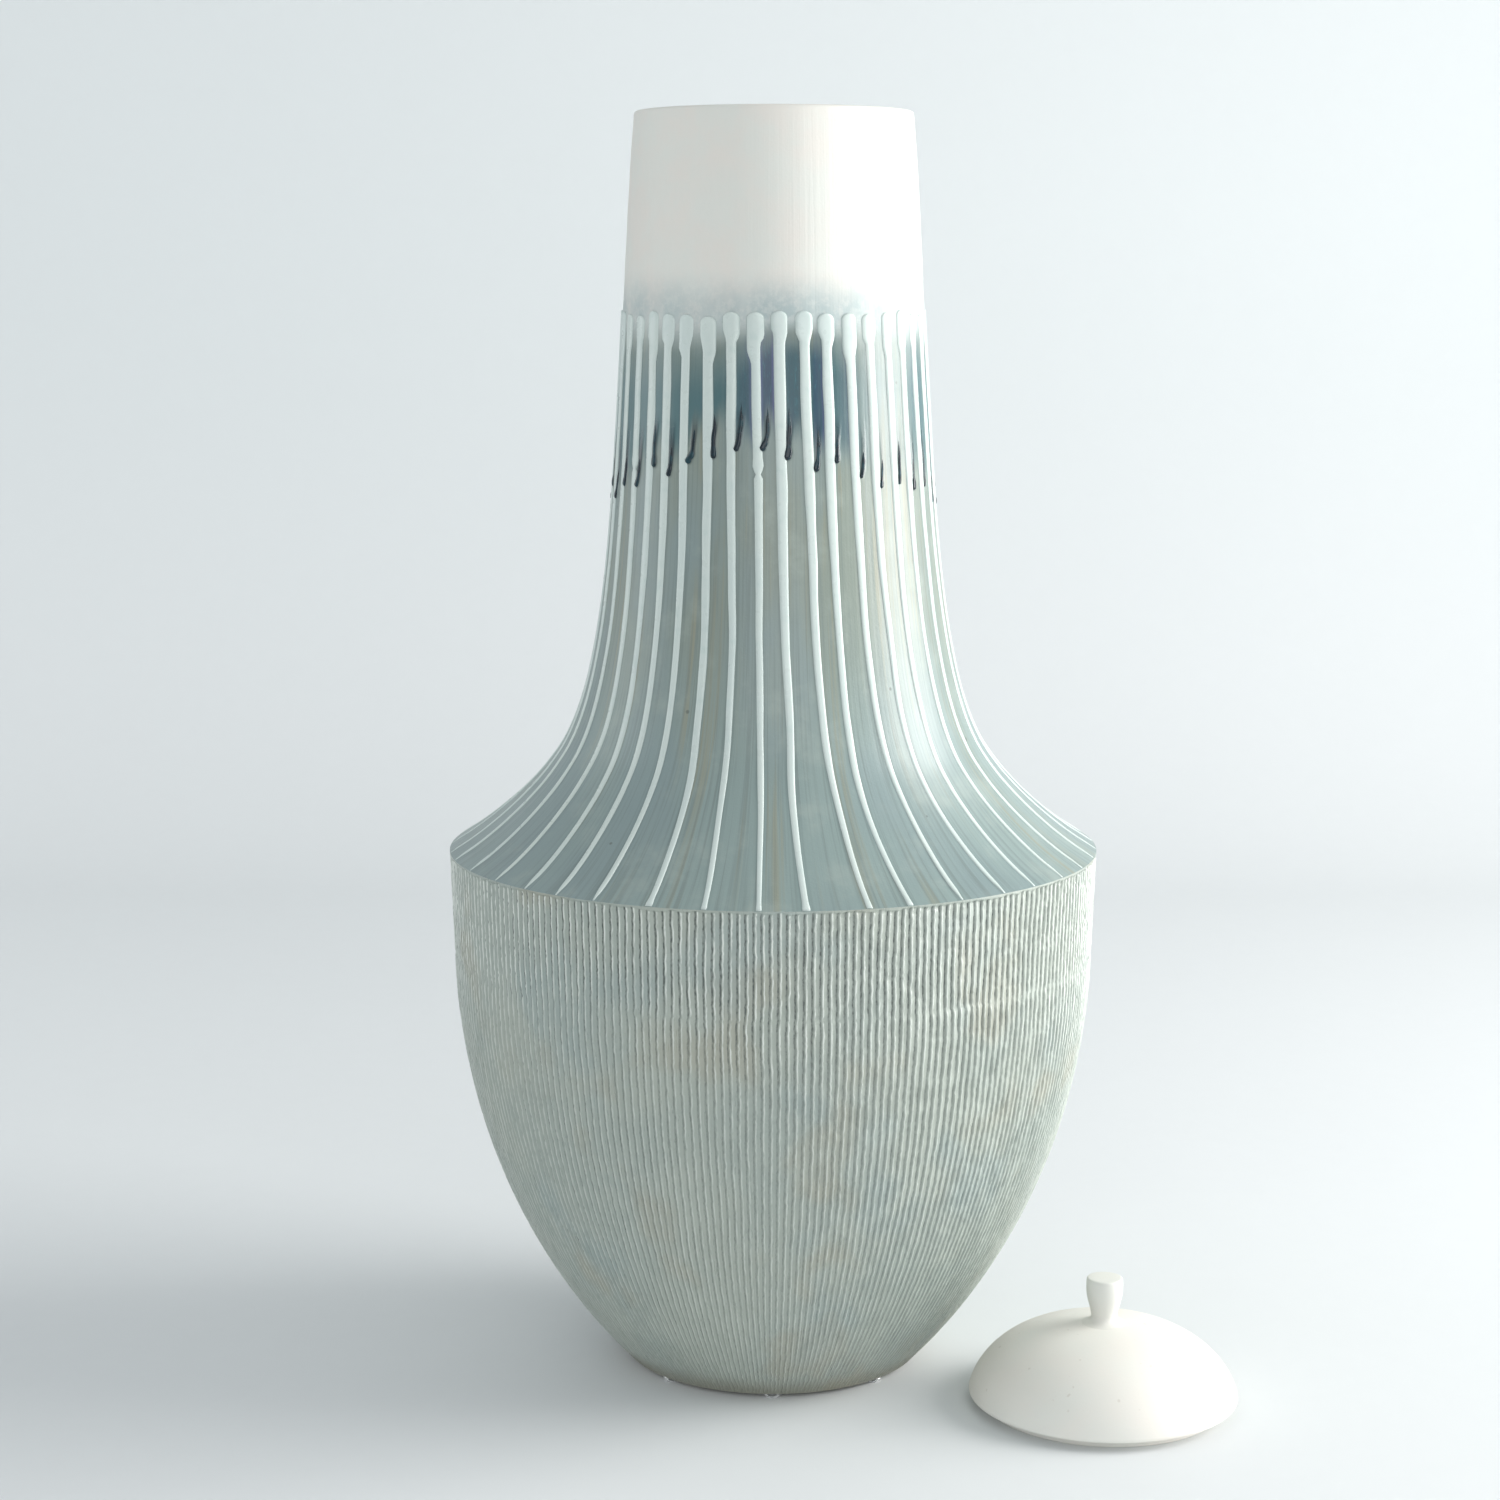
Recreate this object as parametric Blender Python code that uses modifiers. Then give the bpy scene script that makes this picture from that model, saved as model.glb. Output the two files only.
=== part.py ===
"""Ginger jar: a tall ceramic jar with a combed belly, a smooth neck trailed with slip, and a domed lid set down beside it.

Metres, +Z up. The origin is where the jar's axis meets the surface that the jar and its lid stand on.
"""

import math

import bpy
from mathutils import Vector

# Gap between neighbouring pieces
GAP = 0.0003

# Jar: radii and heights of the stations that its outline passes through
JAR_HEIGHT = 0.610
WALL = 0.007
FLOOR_THICKNESS = 0.009
PAD_HEIGHT = 0.0018
BASE_HEIGHT = PAD_HEIGHT + GAP
FOOT_RADIUS = 0.0735
FOOT_FLARE = math.radians(46)
BELLY_RADIUS = 0.1567
BELLY_HEIGHT = 0.217
SHOULDER_RADIUS = 0.1581
SHOULDER_HEIGHT = 0.2575
CONE_PITCH = math.radians(29)
KNEE_RADIUS = 0.1012
KNEE_HEIGHT = 0.311
KNEE_PITCH = math.radians(60.5)
WAIST_RADIUS = 0.0738
WAIST_HEIGHT = 0.4854
WAIST_LEAN = math.radians(3.7)
RIM_RADIUS = 0.0662
RIM_LEAN = math.radians(5.6)
RIM_ROUNDING = 0.0018

# Lid: a domed cap with a locating flange that drops into the mouth, and a knob on its crown
LID_PLACE = (0.1585, -0.0758, 0.0)
LID_RADIUS = 0.0640
LID_LEDGE_HEIGHT = 0.0045
LID_CROWN_HEIGHT = 0.0400
LID_CROWN_WIDTH = 0.0578
LID_WALL = 0.0052
LID_LIP = 0.0016
FLANGE_RADIUS = 0.0574
FLANGE_WALL = 0.0050
KNOB_HEIGHT = 0.0217
KNOB_BASE_RADIUS = 0.0062
KNOB_TOP_RADIUS = 0.0087
KNOB_SWELL_HEIGHT = 0.0175
KNOB_ROUNDING = 0.0009

# Slip trails: raised lines that run down the neck and cone from a rounded head to the shoulder
TRAIL_COUNT = 41
TRAIL_PHASE = math.radians(1.95)
TRAIL_TOP = 0.512
TRAIL_BOTTOM = SHOULDER_HEIGHT + 0.004
TRAIL_RADIUS = 0.0016
TRAIL_HEAD_LENGTH = 0.014
TRAIL_HEAD_SCALE = 1.7
TRAIL_TAIL_SCALE = 0.8
TRAIL_LEAN = math.radians(3.94)

# Clear bumper pads under the foot
PAD_COUNT = 8
PAD_RADIUS = 0.0045
PAD_FACE_RADIUS = 0.0040
PAD_RING_RADIUS = 0.0688

# Steps along the jar's neck, throat, cone, upper belly and lower belly
OUTSIDE_PIECES = (5, 8, 5, 2, 11)
INSIDE_PIECES = (3, 6, 4, 2, 8)
TRAIL_PIECES = (2, 4, 4, 1, 1)

# Facets round each turned piece
JAR_STEPS = 64
LID_STEPS = 48
KNOB_STEPS = 24
PAD_SIDES = 20


def clear_scene():
    for obj in list(bpy.data.objects):
        bpy.data.objects.remove(obj, do_unlink=True)


def new_collection(name):
    collection = bpy.data.collections.new(name)
    bpy.context.scene.collection.children.link(collection)
    return collection


def glaze(name, colour, roughness, metallic=0.0):
    material = bpy.data.materials.new(name)
    material.use_nodes = True
    shader = material.node_tree.nodes["Principled BSDF"]
    shader.inputs["Base Color"].default_value = (*colour, 1.0)
    shader.inputs["Roughness"].default_value = roughness
    shader.inputs["Metallic"].default_value = metallic
    return material


def cubic(start, start_pull, end_pull, end, pieces):
    """Points along a cubic Bezier curve cut into equal steps of its parameter, both ends included."""
    points = []
    for step in range(pieces + 1):
        t = step / pieces
        s = 1.0 - t
        weights = (s**3, 3 * s * s * t, 3 * s * t * t, t**3)
        corners = (start, start_pull, end_pull, end)
        radius = sum(w * c[0] for w, c in zip(weights, corners))
        height = sum(w * c[1] for w, c in zip(weights, corners))
        points.append((radius, height))
    return points


def moved(point, pitch, distance):
    """The point moved by a distance inwards and up at a pitch above the horizontal."""
    return (point[0] - distance * math.cos(pitch), point[1] + distance * math.sin(pitch))


def inset(point, pitch, distance):
    """The point moved into the wall, square to a surface that rises inwards at the pitch."""
    return (point[0] - distance * math.sin(pitch), point[1] - distance * math.cos(pitch))


def jar_wall(depth, pieces):
    """The jar's outline from the rim down to the foot, at a depth below its outer skin.

    pieces holds the number of steps along the neck, throat, cone, upper belly and lower belly.
    """
    upright = math.pi / 2
    rim_pitch = upright - RIM_LEAN
    waist_pitch = upright - WAIST_LEAN
    foot_pitch = math.pi - FOOT_FLARE
    rim = inset((RIM_RADIUS, JAR_HEIGHT - RIM_ROUNDING), rim_pitch, depth)
    rim = (rim[0], JAR_HEIGHT - RIM_ROUNDING)
    waist = inset((WAIST_RADIUS, WAIST_HEIGHT), waist_pitch, depth)
    knee = inset((KNEE_RADIUS, KNEE_HEIGHT), KNEE_PITCH, depth)
    cone_shift = (1.0 - math.sin(CONE_PITCH)) * math.tan(CONE_PITCH) - math.cos(CONE_PITCH)
    shoulder = (SHOULDER_RADIUS - depth, SHOULDER_HEIGHT + depth * cone_shift)
    belly = (BELLY_RADIUS - depth, BELLY_HEIGHT)
    foot = (FOOT_RADIUS, BASE_HEIGHT)
    if depth > 0.0:
        along = (FLOOR_THICKNESS - depth * math.cos(FOOT_FLARE)) / math.sin(FOOT_FLARE)
        foot = inset((FOOT_RADIUS, BASE_HEIGHT), foot_pitch, depth)
        foot = (foot[0] + along * math.cos(FOOT_FLARE), BASE_HEIGHT + FLOOR_THICKNESS)
    neck = cubic(rim, moved(rim, rim_pitch, -0.029), moved(waist, waist_pitch, 0.044), waist, pieces[0])
    throat = cubic(waist, moved(waist, waist_pitch, -0.061), moved(knee, KNEE_PITCH, 0.039), knee, pieces[1])
    cone = cubic(
        knee, moved(knee, KNEE_PITCH, -0.025), moved(shoulder, CONE_PITCH, 0.020), shoulder, pieces[2]
    )
    upper = cubic(
        shoulder, moved(shoulder, upright, -0.008), moved(belly, upright, 0.008), belly, pieces[3]
    )
    lower = cubic(
        belly, moved(belly, upright, -0.096), moved(foot, foot_pitch, 0.064 - depth), foot, pieces[4]
    )
    return neck + throat[1:] + cone[1:] + upper[1:] + lower[1:]


def jar_profile():
    """Half section of the jar: up the inside from the floor's centre, over the rim, down the outside to the axis."""
    outside = jar_wall(0.0, OUTSIDE_PIECES)
    inside = jar_wall(WALL, INSIDE_PIECES)
    rim_inner = (inside[0][0] + RIM_ROUNDING, JAR_HEIGHT)
    rim_outer = (outside[0][0] - RIM_ROUNDING, JAR_HEIGHT)
    floor = [(0.0, BASE_HEIGHT + FLOOR_THICKNESS)]
    base = [(0.0, BASE_HEIGHT)]
    return floor + inside[::-1] + [rim_inner, rim_outer] + outside + base


def lid_profile():
    """Half section of the lid: down the dome, under its lip, round the flange, and up the inside of the dome."""
    crown = (0.0, LID_CROWN_HEIGHT)
    edge = (LID_RADIUS, LID_LEDGE_HEIGHT + LID_LIP)
    dome = cubic(crown, (LID_CROWN_WIDTH, LID_CROWN_HEIGHT), edge, edge, 11)
    ledge = [
        (LID_RADIUS - 0.3 * LID_LIP, LID_LEDGE_HEIGHT + 0.2 * LID_LIP),
        (LID_RADIUS - LID_LIP, LID_LEDGE_HEIGHT),
        (FLANGE_RADIUS, LID_LEDGE_HEIGHT),
    ]
    flange_inner = FLANGE_RADIUS - FLANGE_WALL
    flange = [(FLANGE_RADIUS, 0.0), (flange_inner, 0.0)]
    ceiling = LID_CROWN_HEIGHT - LID_WALL
    spring = (flange_inner, LID_LEDGE_HEIGHT)
    hollow = cubic(spring, spring, (LID_CROWN_WIDTH - 2 * LID_WALL, ceiling), (0.0, ceiling), 8)
    return dome + ledge + flange + hollow


def knob_profile():
    """Half section of the knob: a flat top, a rounded edge, and sides that taper to its base."""
    swell = (KNOB_TOP_RADIUS, KNOB_SWELL_HEIGHT)
    top_edge = (KNOB_TOP_RADIUS - KNOB_ROUNDING, KNOB_HEIGHT)
    base = (KNOB_BASE_RADIUS, 0.0)
    rounded = cubic(top_edge, (KNOB_TOP_RADIUS, KNOB_HEIGHT), (KNOB_TOP_RADIUS, KNOB_HEIGHT), swell, 3)
    taper = cubic(swell, (KNOB_TOP_RADIUS, 0.6 * KNOB_SWELL_HEIGHT), (base[0], 0.4 * swell[1]), base, 4)
    return [(0.0, KNOB_HEIGHT)] + rounded + taper[1:] + [(0.0, 0.0)]


def turned(name, profile, steps, material, collection):
    """A solid of revolution about its own Z axis, from a half section drawn at +X."""
    mesh = bpy.data.meshes.new(name)
    edges = [(n, n + 1) for n in range(len(profile) - 1)]
    mesh.from_pydata([(radius, 0.0, height) for radius, height in profile], edges, [])
    obj = bpy.data.objects.new(name, mesh)
    obj.data.materials.append(material)
    collection.objects.link(obj)
    screw = obj.modifiers.new("turn", "SCREW")
    screw.axis = "Z"
    screw.angle = 2 * math.pi
    screw.steps = steps
    screw.render_steps = steps
    screw.use_merge_vertices = True
    screw.merge_threshold = 0.0001
    screw.use_smooth_shade = True
    return obj


def at_azimuth(radius, azimuth, height):
    """A point round the jar: azimuth 0 faces -Y, and azimuth grows towards +X."""
    return Vector((radius * math.sin(azimuth), -radius * math.cos(azimuth), height))


def trail_rows():
    """Radius, height and outward normal at each row of the jar's outer skin that a slip trail crosses."""
    skin = jar_wall(0.0, TRAIL_PIECES)
    rows = []
    for above, here, below in zip(skin, skin[1:], skin[2:]):
        if not TRAIL_BOTTOM < here[1] < TRAIL_TOP:
            continue
        slope = Vector((below[0] - above[0], below[1] - above[1])).normalized()
        rows.append((here, (-slope.y, slope.x)))
    first, normal = rows[0]
    head = (first[0] - (TRAIL_TOP - first[1]) * math.tan(WAIST_LEAN), TRAIL_TOP)
    neck = (head[0] + TRAIL_HEAD_LENGTH * math.tan(WAIST_LEAN), TRAIL_TOP - TRAIL_HEAD_LENGTH)
    return [(head, normal), (neck, normal)] + rows


def trail_curve(material):
    """One raised slip line facing -Y, as a tube that rests a gap above the jar's skin and drifts round it by the lean."""
    curve = bpy.data.curves.new("slip_trail", "CURVE")
    curve.dimensions = "3D"
    curve.resolution_u = 1
    curve.bevel_depth = TRAIL_RADIUS
    curve.bevel_resolution = 1
    curve.use_fill_caps = True
    curve.materials.append(material)
    rows = trail_rows()
    spline = curve.splines.new("POLY")
    spline.points.add(len(rows) - 1)
    for row, (point, (place, normal)) in enumerate(zip(spline.points, rows)):
        along = (TRAIL_TOP - place[1]) / (TRAIL_TOP - TRAIL_BOTTOM)
        scale = TRAIL_HEAD_SCALE if row == 0 else 1.0 + along * (TRAIL_TAIL_SCALE - 1.0)
        stand_off = TRAIL_RADIUS * scale + 2 * GAP
        radius = place[0] + normal[0] * stand_off
        height = place[1] + normal[1] * stand_off
        point.co = (*at_azimuth(radius, TRAIL_LEAN * along, height), 1.0)
        point.radius = scale
    return curve


def add_slip_trails(material, collection):
    """The raised slip lines, evenly spaced round the neck, which all drift the same way as they run down the cone."""
    curve = trail_curve(material)
    for number in range(TRAIL_COUNT):
        azimuth = TRAIL_PHASE + number * 2 * math.pi / TRAIL_COUNT
        trail = bpy.data.objects.new(f"slip_trail_{number + 1:02d}", curve)
        trail.rotation_euler.z = azimuth
        collection.objects.link(trail)


def add_foot_pads(material, collection):
    """Clear bumper pads in a ring under the foot, wide face up."""
    for number in range(PAD_COUNT):
        azimuth = number * 2 * math.pi / PAD_COUNT
        bpy.ops.mesh.primitive_cone_add(
            vertices=PAD_SIDES,
            radius1=PAD_FACE_RADIUS,
            radius2=PAD_RADIUS,
            depth=PAD_HEIGHT,
            location=at_azimuth(PAD_RING_RADIUS, azimuth, PAD_HEIGHT / 2),
        )
        pad = bpy.context.object
        pad.name = f"foot_pad_{number + 1}"
        pad.data.materials.append(material)
        for holder in list(pad.users_collection):
            holder.objects.unlink(pad)
        collection.objects.link(pad)


def add_lid(dome_clay, knob_clay, collection):
    """The lid's dome and knob, carried by an empty on the lid's own axis."""
    handle = bpy.data.objects.new("lid_axis", None)
    handle.location = LID_PLACE
    collection.objects.link(handle)
    dome = turned("lid_dome", lid_profile(), LID_STEPS, dome_clay, collection)
    dome.parent = handle
    knob = turned("lid_knob", knob_profile(), KNOB_STEPS, knob_clay, collection)
    knob.parent = handle
    knob.location = (0.0, 0.0, LID_CROWN_HEIGHT + GAP)


def main():
    clear_scene()
    parts = new_collection("ginger_jar")
    celadon = glaze("jar_body", (0.46, 0.52, 0.47), 0.42)
    pale_slip = glaze("slip_trails", (0.80, 0.83, 0.78), 0.35)
    bone_dome = glaze("lid_dome", (0.83, 0.82, 0.78), 0.55)
    bone_knob = glaze("lid_knob", (0.83, 0.82, 0.78), 0.50)
    clear_rubber = glaze("foot_pad", (0.86, 0.87, 0.86), 0.25)
    turned("jar_body", jar_profile(), JAR_STEPS, celadon, parts)
    add_slip_trails(pale_slip, parts)
    add_foot_pads(clear_rubber, parts)
    add_lid(bone_dome, bone_knob, parts)


main()
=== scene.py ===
"""Looks of the ginger jar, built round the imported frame: belly, neck, slip trails, lid and pads."""

import math

import bpy
import numpy as np
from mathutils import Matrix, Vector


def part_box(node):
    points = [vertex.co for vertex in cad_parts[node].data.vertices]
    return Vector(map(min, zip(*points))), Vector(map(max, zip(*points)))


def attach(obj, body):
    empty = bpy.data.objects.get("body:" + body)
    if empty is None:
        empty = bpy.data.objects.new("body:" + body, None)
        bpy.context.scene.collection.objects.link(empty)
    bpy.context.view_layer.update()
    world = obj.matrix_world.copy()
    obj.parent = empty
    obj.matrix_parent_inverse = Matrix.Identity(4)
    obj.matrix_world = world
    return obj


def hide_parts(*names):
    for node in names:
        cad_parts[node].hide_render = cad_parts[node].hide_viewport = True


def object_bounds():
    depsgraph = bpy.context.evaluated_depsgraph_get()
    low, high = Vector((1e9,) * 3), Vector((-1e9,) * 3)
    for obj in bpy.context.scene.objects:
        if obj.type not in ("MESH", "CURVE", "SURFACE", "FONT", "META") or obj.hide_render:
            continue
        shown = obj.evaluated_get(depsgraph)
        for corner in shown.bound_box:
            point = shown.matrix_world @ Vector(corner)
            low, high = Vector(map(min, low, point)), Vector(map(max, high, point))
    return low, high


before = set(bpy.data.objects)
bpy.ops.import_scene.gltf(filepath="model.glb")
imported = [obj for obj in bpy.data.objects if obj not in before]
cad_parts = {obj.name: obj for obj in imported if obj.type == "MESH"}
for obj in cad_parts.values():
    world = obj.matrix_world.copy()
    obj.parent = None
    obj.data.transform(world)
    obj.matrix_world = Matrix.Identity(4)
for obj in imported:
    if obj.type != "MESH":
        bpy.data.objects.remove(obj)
CAD_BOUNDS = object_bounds()

MM = 0.001
TURN = 2.0 * math.pi
JAR_BODY = "jar"
LID_BODY = "lid"

# Camera: height, distance from the jar's axis, downward pitch, turn to the left, and lens for a 36 mm sensor
CAMERA_HEIGHT = 0.5338
CAMERA_DISTANCE = 1.431
CAMERA_PITCH = math.radians(9.12)
CAMERA_TURN = math.radians(0.45)
CAMERA_LENS = 71.07

# The belly and the neck are each built as four patches of 90 degrees, the first one facing the camera
PATCHES = 4
RIBS = 264
BELLY_ROWS = 240
EDGE_ROWS = 12
NECK_COLUMNS = 960
CONE_ROWS = 90
BAND_ROWS = 124
TRAIL_ROWS = 148
COLLAR_ROWS = 36
LIP_ROWS = 6
LINING_ROWS = 50
UNDERSIDE_COLUMNS = RIBS * 4

# Heights on the neck: the trails' heads, the colour zones, the start of the closer rows, the collar's join
WASH_TOP = 0.538
COLLAR_ROW = 0.5185
HEAD_TOP = 0.5165
HEAD_MIDDLE = 0.509
WASH_FULL = 0.486
BAND_BOTTOM = 0.42

# Combing of the belly
RIB_DEPTH = 1.00 * MM
RIB_PLACES = np.array([-0.5, -0.27, -0.13, 0.0, 0.13, 0.27])
RIB_PROFILE = np.array([0.10, -0.40, 0.15, 1.0, 0.55, 0.12])
OVERLAP_HEIGHT = 0.207
SHOULDER_BAND = 4.0 * MM

# Slip trails: those that end near the front are blunt, and a few pinch in under a small bead
TRAIL_COUNT = 41
TRAIL_PHASE = math.radians(1.95)
TRAIL_LEAN = math.radians(3.94)
BLUNT_REACH = math.radians(27)
TRAIL_HEIGHT = 0.95 * MM
PINCH_HEIGHT = 0.444
BEAD_HEIGHT = 0.448

# Dark runs between the trails: one side of the jar has thin ones, and the front has the deepest blue
RUN_TOP = 0.487
RUN_TIP = 0.4415
RUN_TIP_SWING = 0.011
THIN_MIDDLE = math.radians(44)
THIN_REACH = math.radians(17)
DEEP_MIDDLE = math.radians(6.0)
DEEP_REACH = math.radians(19.0)

# Seeds of each trail's and each run's own draws
TRAIL_SEED = 700
SWAY_SEED = 1500
PULSE_SEED = 2500
RUN_SEED = 4200
KINK_SEED = 4700

# Rows that differ by less than this are one row of a turned CAD node
ROW_TOLERANCE = 0.05 * MM
# How much a unit tube's height is stretched for the textures that follow the jar round
TUBE_STRETCH = 10.0
# Sockets of the colour inputs and output of Blender's Mix node
MIX_FIRST = 6
MIX_SECOND = 7
MIX_RESULT = 2
# Half the stage's width, its front edge and its height
STAGE_REACH = 4.0


# ---------------------------------------------------------------- the frame's outlines


def skin_rows(node, centre, outside=True):
    """Radius and height of each row of a turned CAD node's outer or inner skin, from the lowest row up."""
    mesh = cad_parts[node].data
    rows = {}
    for face in mesh.polygons:
        middle = face.center
        radial = (middle.x - centre[0], middle.y - centre[1])
        reach = math.hypot(*radial)
        if reach < MM:
            continue
        facing = (face.normal.x * radial[0] + face.normal.y * radial[1]) / reach
        if (facing > 0.05) != outside or abs(facing) < 0.05:
            continue
        for index in face.vertices:
            place = mesh.vertices[index].co
            radius = math.hypot(place.x - centre[0], place.y - centre[1])
            rows[round(place.z / ROW_TOLERANCE)] = (place.z, radius)
    heights, radii = zip(*[rows[key] for key in sorted(rows)])
    return np.array(heights), np.array(radii)


def smooth_curve(places, values):
    """A function through the given points with a continuous slope that never overshoots between them."""
    rises = np.diff(values) / np.diff(places)
    before, after = rises[:-1], rises[1:]
    same = before * after > 0.0
    total = np.where(same, before + after, 1.0)
    inner = np.where(same, 2.0 * before * after / total, 0.0)
    slopes = np.concatenate([rises[:1], inner, rises[-1:]])

    def at(wanted):
        wanted = np.clip(wanted, places[0], places[-1])
        left = np.clip(np.searchsorted(places, wanted, side="right") - 1, 0, len(places) - 2)
        width = places[left + 1] - places[left]
        t = (wanted - places[left]) / width
        s = 1.0 - t
        return (
            values[left] * (1 + 2 * t) * s * s
            + values[left + 1] * (3 - 2 * t) * t * t
            + slopes[left] * width * t * s * s
            - slopes[left + 1] * width * t * t * s
        )

    return at


def even_rows(curve, low, high, count):
    """Heights from low to high, an equal distance apart along the curve's outline."""
    fine = np.linspace(low, high, 2000)
    steps = np.hypot(np.diff(fine), np.diff(curve(fine)))
    travelled = np.concatenate([[0.0], np.cumsum(steps)])
    return np.interp(np.linspace(0.0, travelled[-1], count), travelled, fine)


OUT_HEIGHTS, OUT_RADII = skin_rows("jar_body", (0.0, 0.0))
IN_HEIGHTS, IN_RADII = skin_rows("jar_body", (0.0, 0.0), outside=False)
SHOULDER = int(np.argmax(OUT_RADII))
SHOULDER_HEIGHT = OUT_HEIGHTS[SHOULDER]
FOOT_HEIGHT = OUT_HEIGHTS[0]
RIM_HEIGHT = CAD_BOUNDS[1][2]
NECK_END = int(np.sum(OUT_HEIGHTS < RIM_HEIGHT - 1.5 * MM))
belly_radius = smooth_curve(OUT_HEIGHTS[: SHOULDER + 1], OUT_RADII[: SHOULDER + 1])
neck_radius = smooth_curve(OUT_HEIGHTS[SHOULDER:NECK_END], OUT_RADII[SHOULDER:NECK_END])
inner_radius = smooth_curve(IN_HEIGHTS, IN_RADII)
LID_LOW, LID_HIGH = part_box("lid_dome")
LID_CENTRE = ((LID_LOW.x + LID_HIGH.x) / 2, (LID_LOW.y + LID_HIGH.y) / 2)


# ---------------------------------------------------------------- small helpers


def ramp(value, start, end):
    """0 before start, 1 after end, and a smooth step between them; start may be the larger of the two."""
    t = np.clip((value - start) / (end - start), 0.0, 1.0)
    return t * t * (3.0 - 2.0 * t)


def wrapped(angle):
    """The angle brought between minus and plus half a turn."""
    return (angle + math.pi) % TURN - math.pi


class Noise:
    """Smooth random values from -1 to 1 on a band that closes on itself round the jar."""

    def __init__(self, seed, around, along):
        self.around = around
        self.along = along
        self.lattice = np.random.default_rng(seed).uniform(-1.0, 1.0, (along + 2, around))

    def __call__(self, turn, rise):
        """turn is the share of a full turn and rise a share from 0 to 1 of the band's height."""
        x = (turn % 1.0) * self.around
        y = np.clip(rise, 0.0, 1.0) * self.along
        column = np.floor(x).astype(int)
        row = np.minimum(np.floor(y).astype(int), self.along)
        s = x - column
        t = y - row
        s = s * s * (3.0 - 2.0 * s)
        t = t * t * (3.0 - 2.0 * t)
        nearer = column % self.around
        further = (column + 1) % self.around
        low = self.lattice[row, nearer] * (1 - s) + self.lattice[row, further] * s
        high = self.lattice[row + 1, nearer] * (1 - s) + self.lattice[row + 1, further] * s
        return low * (1 - t) + high * t


def grid_piece(name, points, material, closed_across=False):
    """A smooth mesh over a grid of points (rows, columns, 3); closed_across joins its two edge columns."""
    rows, columns = points.shape[:2]
    numbers = np.arange(rows * columns).reshape(rows, columns)
    if closed_across:
        numbers = np.concatenate([numbers, numbers[:, :1]], axis=1)
    corners = [numbers[:-1, :-1], numbers[:-1, 1:], numbers[1:, 1:], numbers[1:, :-1]]
    faces = np.stack([c.ravel() for c in corners], axis=1)
    mesh = bpy.data.meshes.new(name)
    mesh.from_pydata(points.reshape(-1, 3).tolist(), [], faces.tolist())
    mesh.shade_smooth()
    mesh.materials.append(material)
    piece = bpy.data.objects.new(name, mesh)
    bpy.context.scene.collection.objects.link(piece)
    return piece


def store(piece, name, values):
    """Keeps one number for each vertex of the piece, for its material to read."""
    attribute = piece.data.attributes.new(name, "FLOAT", "POINT")
    attribute.data.foreach_set("value", np.asarray(values, np.float32).ravel())


def store_round(piece, azimuth, height):
    """Keeps a place on a unit tube for each vertex, so that a texture goes round the jar without a seam."""
    place = np.stack([np.sin(azimuth), -np.cos(azimuth), height * TUBE_STRETCH], axis=-1)
    attribute = piece.data.attributes.new("around", "FLOAT_VECTOR", "POINT")
    attribute.data.foreach_set("vector", place.astype(np.float32).ravel())


def on_jar(azimuth, radius, height):
    """Points round the jar: azimuth 0 faces the camera, and azimuth grows towards +X."""
    return np.stack([radius * np.sin(azimuth), -radius * np.cos(azimuth), height + 0.0 * azimuth], axis=-1)


def patch_columns(number, total):
    """Azimuths of the columns of one patch out of PATCHES; neighbours share their edge columns."""
    per_patch = total // PATCHES
    first = number * per_patch - per_patch // 2
    return (first + np.arange(per_patch + 1)) * TURN / total


# ---------------------------------------------------------------- materials


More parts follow.
